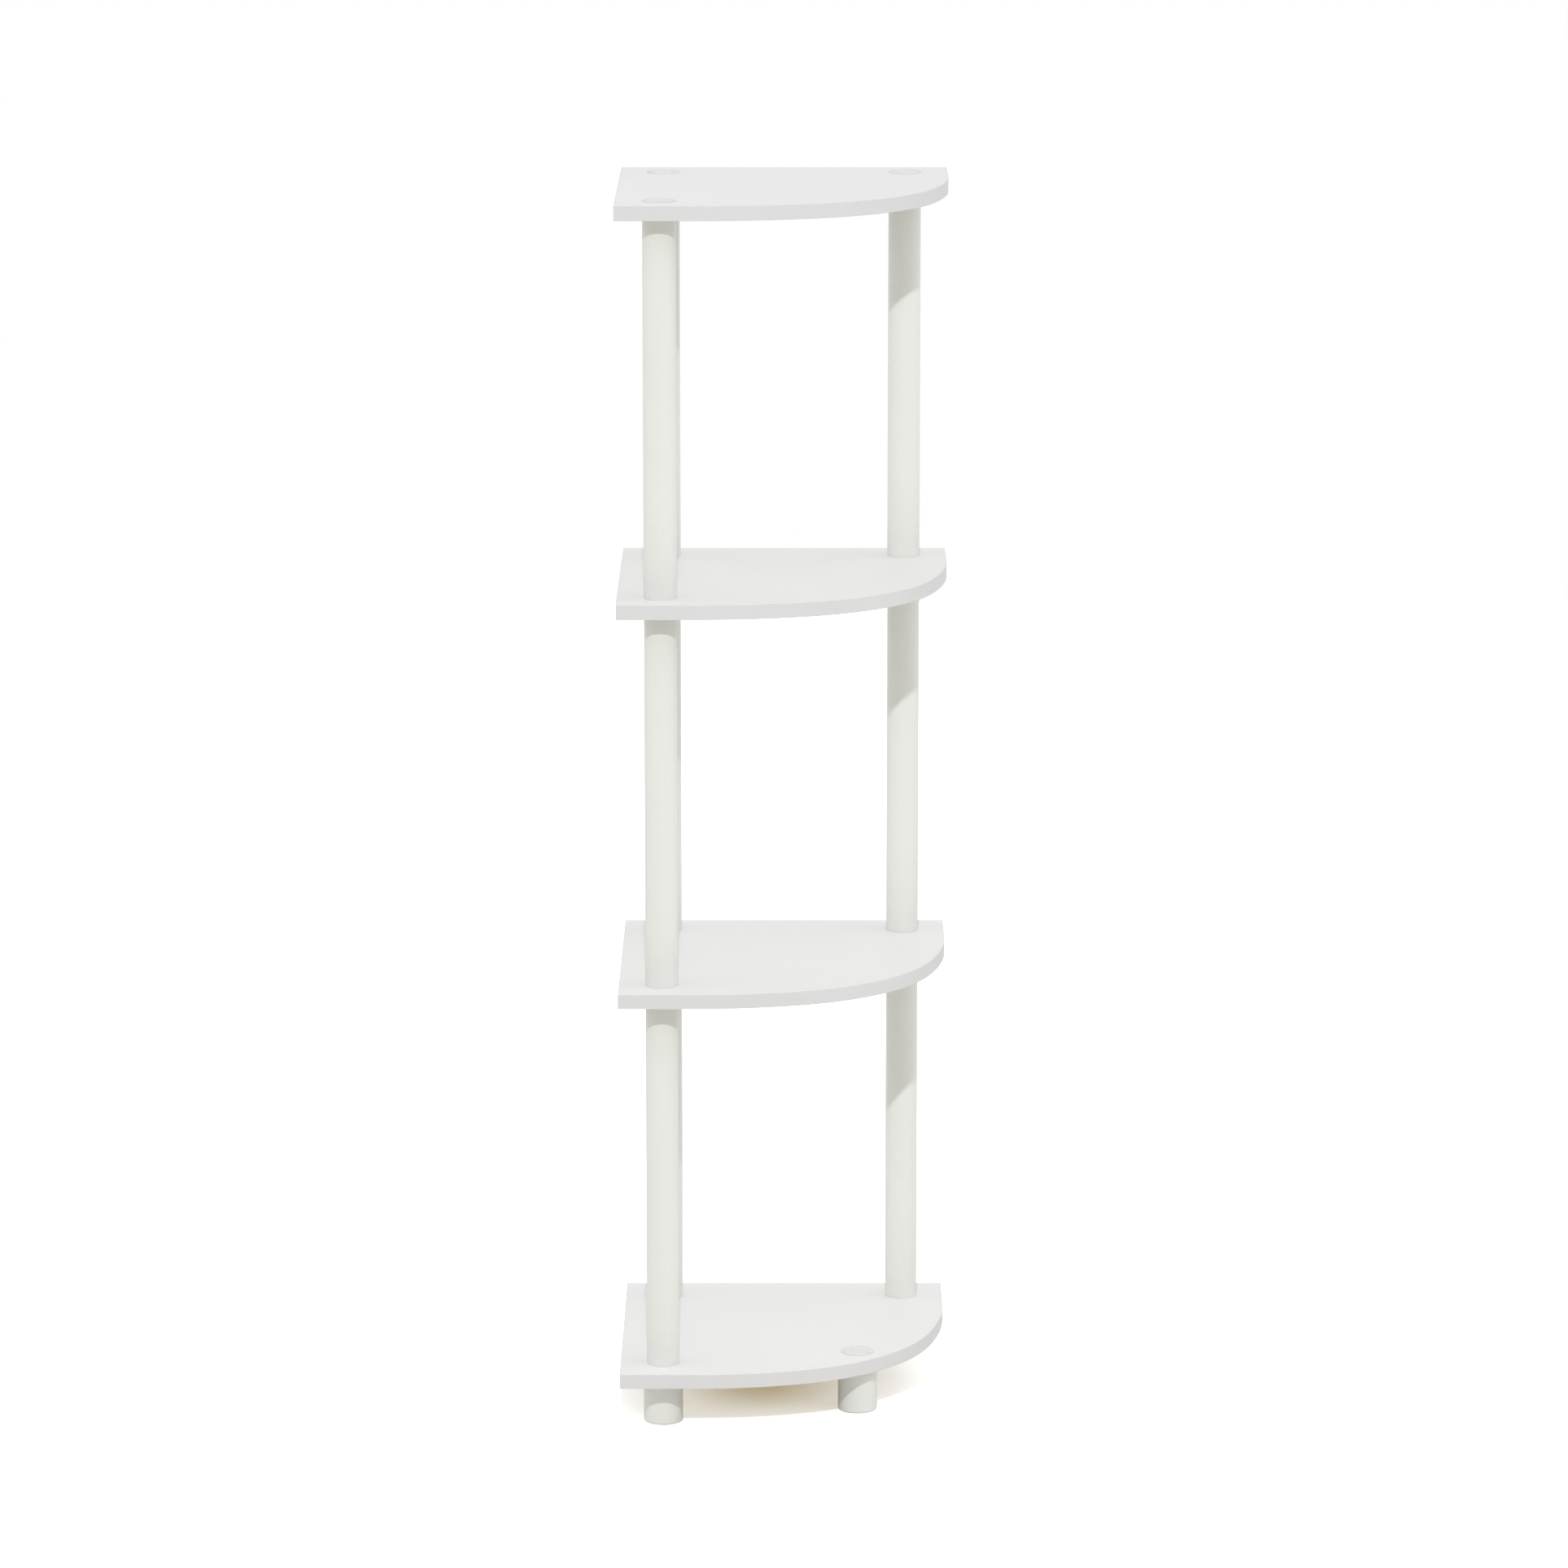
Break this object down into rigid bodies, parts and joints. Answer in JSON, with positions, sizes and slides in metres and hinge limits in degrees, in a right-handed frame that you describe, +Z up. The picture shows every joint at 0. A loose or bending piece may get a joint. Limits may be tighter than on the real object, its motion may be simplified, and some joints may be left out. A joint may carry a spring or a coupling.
{
  "type": "corner shelf unit",
  "caption": "Open corner shelf unit: boards with a square back corner and a curved front edge, stacked on screwed round tubes, standing on short feet.",
  "frame": {"origin": "centre of the boards' plan at floor level, under the feet", "axes": "+Z up; the straight back edge faces +Y and the straight side edge faces -X, so the square corner is at (-X, +Y) and the curved edge faces -Y and +X"},
  "size_m": [0.294, 0.294, 1.1033],
  "materials": {
    "laminate": "satin white laminate on chipboard",
    "edging": "satin white edging strip",
    "tube_plastic": "smooth extruded off-white plastic",
    "moulded_plastic": "satin moulded off-white plastic"
  },
  "bodies": {
    "root": {"shelf_1_panel": "laminate", "shelf_1_front_band": "edging", "shelf_1_side_band": "edging", "shelf_1_back_band": "edging", "shelf_2_panel": "laminate", "shelf_2_front_band": "edging", "shelf_2_side_band": "edging", "shelf_2_back_band": "edging", "shelf_3_panel": "laminate", "shelf_3_front_band": "edging", "shelf_3_side_band": "edging", "shelf_3_back_band": "edging", "shelf_4_panel": "laminate", "shelf_4_front_band": "edging", "shelf_4_side_band": "edging", "shelf_4_back_band": "edging", "corner_tube_1": "tube_plastic", "corner_tube_2": "tube_plastic", "corner_tube_3": "tube_plastic", "right_tube_1": "tube_plastic", "right_tube_2": "tube_plastic", "right_tube_3": "tube_plastic", "left_tube_1": "tube_plastic", "left_tube_2": "tube_plastic", "left_tube_3": "tube_plastic", "corner_stud_plug_1": "moulded_plastic", "corner_stud_plug_2": "moulded_plastic", "corner_stud_plug_3": "moulded_plastic", "right_stud_plug_1": "moulded_plastic", "right_stud_plug_2": "moulded_plastic", "right_stud_plug_3": "moulded_plastic", "left_stud_plug_1": "moulded_plastic", "left_stud_plug_2": "moulded_plastic", "left_stud_plug_3": "moulded_plastic", "corner_socket_plug_1": "moulded_plastic", "corner_socket_plug_2": "moulded_plastic", "corner_socket_plug_3": "moulded_plastic", "right_socket_plug_1": "moulded_plastic", "right_socket_plug_2": "moulded_plastic", "right_socket_plug_3": "moulded_plastic", "left_socket_plug_1": "moulded_plastic", "left_socket_plug_2": "moulded_plastic", "left_socket_plug_3": "moulded_plastic", "corner_foot": "moulded_plastic", "right_foot": "moulded_plastic", "left_foot": "moulded_plastic", "front_foot": "moulded_plastic", "corner_cap": "moulded_plastic", "right_cap": "moulded_plastic", "left_cap": "moulded_plastic", "front_cap": "moulded_plastic"}
  },
  "joints": []
}
